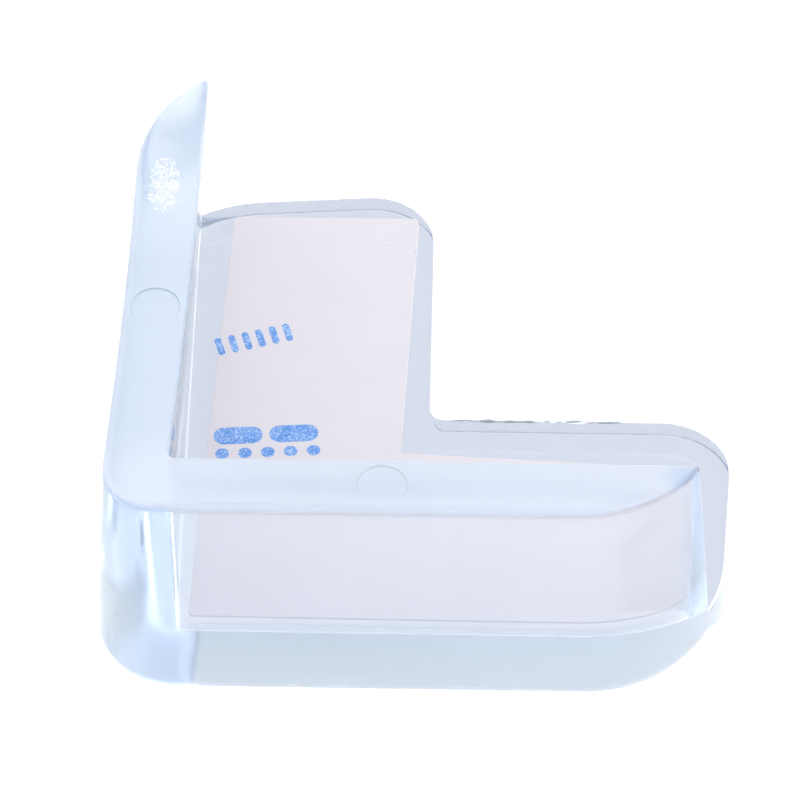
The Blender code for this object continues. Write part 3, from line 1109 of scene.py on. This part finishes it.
def add_print(settings):
    """Generic rounded bars in blue ink on the liner."""
    ink = ink_material(settings)
    tree = bar_row_tree()
    bm = bmesh.new()
    for number, (start, angle, count, spacing, length, width) in enumerate(PRINT_ROWS):
        row = add_object("bar_row_" + str(number), mesh_from(bmesh.new(), "bar_row"))
        values = {
            "Count": count,
            "Spacing": spacing * MM,
            "Length": length * MM,
            "Width": width * MM,
            "Thickness": settings.ink_thickness,
            "Angle": math.radians(angle),
            "Start": (start[0] * MM, start[1] * MM, LINER_TOP),
            "Material": ink,
        }
        run_geometry_tree(row, tree, values)
        bm.from_mesh(row.data)
        bpy.data.objects.remove(row)
    bmesh.ops.recalc_face_normals(bm, faces=bm.faces)
    marks = add_object("printed_bars", mesh_from(bm, "printed_bars"))
    finish_piece(marks, ink, "liner_paper")


def add_flecks(name, corners, level, material, slot_name, values):
    """Flecks scattered over the flat polygon with these corners at this level."""
    bm = bmesh.new()
    bm.faces.new([bm.verts.new((x, y, level)) for x, y in corners])
    flecks = add_object(name, mesh_from(bm, name))
    run_geometry_tree(flecks, scatter_tree(), {"Material": material, **values})
    finish_piece(flecks, None, slot_name)


def add_dust(settings):
    """A few specks of dust on the liner."""
    values = {
        "Density": 16000.0,
        "Smallest": (0.025 * MM, 0.02 * MM, 0.01 * MM),
        "Largest": (0.09 * MM, 0.045 * MM, 0.02 * MM),
        "Turn": math.tau,
        "Seed": settings.dust_seed,
    }
    add_flecks("dust_specks", tape_corners(), LINER_TOP, dust_material(), "liner_paper", values)


def add_scuffs():
    """The patch of short white scratches in the rim of the long arm's wall."""
    patch = arc(SCUFF_CENTRE, SCUFF_RADII, 0, 360, 12)[:-1]
    values = {
        "Density": 9000000.0,
        "Smallest": (0.04 * MM, 0.025 * MM, 0.008 * MM),
        "Largest": (0.28 * MM, 0.065 * MM, 0.011 * MM),
        "Turn": 2.4,
        "Seed": 7,
    }
    add_flecks("rim_scuffs", patch, HEIGHT - SCUFF_RISE, scuff_material(), "clear_plastic", values)


def add_flash_shade_flecks():
    """Painted shade: dark lens-shaped flecks under the flash."""
    back = FRONT_ARM_SIDE - draft_inset(PLATE_THICKNESS)
    start, end = FLASH_ENDS
    inner, outer = (back - inset for inset in FLASH_SHADE_INSETS)
    strip = [(start, inner), (end, inner), (end, outer), (start, outer)]
    values = {
        "Density": 9000000.0,
        "Smallest": (0.25 * MM, 0.05 * MM, 0.02 * MM),
        "Largest": (1.3 * MM, 0.13 * MM, 0.03 * MM),
        "Turn": 0.05,
        "Seed": 3,
    }
    add_flecks("flash_shade_flecks", strip, PLATE_THICKNESS, flash_shade_material(), "clear_plastic", values)


class CORNERGUARD_OT_stage(bpy.types.Operator):
    """Builds the pale floor, the soft light and the camera"""

    bl_idname = "corner_guard.stage"
    bl_label = "Add stage"
    bl_options = {"REGISTER", "UNDO"}

    def execute(self, context):
        settings = context.scene.corner_guard_stage
        add_floor(settings)
        add_surround(settings)
        add_softboxes(settings)
        add_camera()
        context.scene.view_settings.view_transform = "Standard"
        lengthen_light_paths(context.scene.cycles)
        return {"FINISHED"}


def lengthen_light_paths(cycles):
    """Lets light bounce as often as it does inside thick clear plastic."""
    cycles.max_bounces = LIGHT_BOUNCES
    cycles.transmission_bounces = LIGHT_BOUNCES
    cycles.glossy_bounces = LIGHT_BOUNCES


def add_floor(settings):
    bm = bmesh.new()
    bmesh.ops.create_grid(bm, x_segments=1, y_segments=1, size=settings.floor_size / 2.0)
    bmesh.ops.translate(bm, verts=bm.verts, vec=(0.0, 0.0, -FLOOR_GAP))
    floor = add_object("pale_floor", mesh_from(bm, "pale_floor"))
    material, tree, shader, coordinates = new_material("pale_floor")
    mottle = noise_node(tree, coordinates, 6.0, 2.0)
    colour = mixed_colour(tree, mottle, (0.20, 0.20, 0.202), (0.21, 0.21, 0.21))
    tree.links.new(colour, shader.inputs["Base Color"])
    shader.inputs["Roughness"].default_value = 0.9
    shader.inputs["Specular IOR Level"].default_value = 0.1
    shader.inputs["Emission Color"].default_value = (1.0, 1.0, 1.0, 1.0)
    shader.inputs["Emission Strength"].default_value = settings.floor_glow
    floor.data.materials.append(material)


def add_surround(settings):
    """A pale surround, brighter near the horizon than overhead."""
    world = bpy.data.worlds.new("pale_surround")
    bpy.context.scene.world = world
    world.use_nodes = True
    tree = world.node_tree
    tree.nodes.clear()
    direction = add_node(tree, "ShaderNodeTexCoord").outputs["Generated"]
    share = mapped(tree, split_node(tree, direction)["Z"], 0.0, 0.7, 0.0, 1.0)
    colour = mixed_colour(tree, share, HORIZON_COLOUR, ZENITH_COLOUR)
    values = {"Color": colour, "Strength": settings.surround}
    background = add_node(tree, "ShaderNodeBackground", values)
    add_node(tree, "ShaderNodeOutputWorld", {"Surface": background.outputs["Background"]})


def add_softboxes(settings):
    """A main softbox high behind on the left, a fill in front on the right and one low behind."""
    for name, place, size, share in SOFTBOXES:
        light = bpy.data.lights.new(name, "AREA")
        light.shape = "SQUARE"
        light.size = size
        light.energy = settings.softbox_power * share
        lamp = bpy.data.objects.new(name, light)
        lamp.location = place
        lamp.rotation_euler = (SOFTBOX_AIM - place).to_track_quat("-Z", "Y").to_euler()
        bpy.context.scene.collection.objects.link(lamp)


def add_camera():
    """The camera at the photograph's viewing angle."""
    camera = bpy.data.cameras.new("photo_camera")
    camera.sensor_width = SENSOR_WIDTH
    camera.lens = CAMERA_FOCAL_PIXELS / PICTURE_PIXELS * SENSOR_WIDTH
    camera.clip_start = 0.01
    camera.clip_end = 20.0
    turn = Matrix.Rotation(-CAMERA_AZIMUTH, 4, "Z")
    tilt = Matrix.Rotation(math.pi / 2.0 - CAMERA_ELEVATION, 4, "X")
    roll = Matrix.Rotation(CAMERA_ROLL, 4, "Z")
    holder = bpy.data.objects.new("photo_camera", camera)
    holder.matrix_world = Matrix.Translation(CAMERA_PLACE) @ turn @ tilt @ roll
    bpy.context.scene.collection.objects.link(holder)
    bpy.context.scene.camera = holder


class CORNERGUARD_PT_panel(bpy.types.Panel):
    """Lists the corner guard's pieces"""

    bl_label = "Corner Guard"
    bl_idname = "CORNERGUARD_PT_panel"
    bl_space_type = "VIEW_3D"
    bl_region_type = "UI"
    bl_category = "Corner Guard"

    def draw(self, context):
        column = self.layout.column()
        for operator in OPERATORS:
            column.operator(operator.bl_idname)
        for name, group in PROPERTY_GROUPS:
            column.separator()
            for key in group.__annotations__:
                column.prop(getattr(context.scene, name), key)


PROPERTY_GROUPS = (
    ("corner_guard", GuardSettings),
    ("corner_guard_liner", LinerSettings),
    ("corner_guard_stage", StageSettings),
)
OPERATORS = (
    CORNERGUARD_OT_moulding,
    CORNERGUARD_OT_tape,
    CORNERGUARD_OT_liner,
    CORNERGUARD_OT_stage,
)


def register():
    for name, group in PROPERTY_GROUPS:
        bpy.utils.register_class(group)
        setattr(bpy.types.Scene, name, bpy.props.PointerProperty(type=group))
    for operator in OPERATORS:
        bpy.utils.register_class(operator)
    bpy.utils.register_class(CORNERGUARD_PT_panel)


def unregister():
    bpy.utils.unregister_class(CORNERGUARD_PT_panel)
    for operator in reversed(OPERATORS):
        bpy.utils.unregister_class(operator)
    for name, group in reversed(PROPERTY_GROUPS):
        delattr(bpy.types.Scene, name)
        bpy.utils.unregister_class(group)


def main():
    register()
    bpy.ops.corner_guard.moulding()
    bpy.ops.corner_guard.tape()
    bpy.ops.corner_guard.liner()
    bpy.ops.corner_guard.stage()


if __name__ == "__main__":
    main()
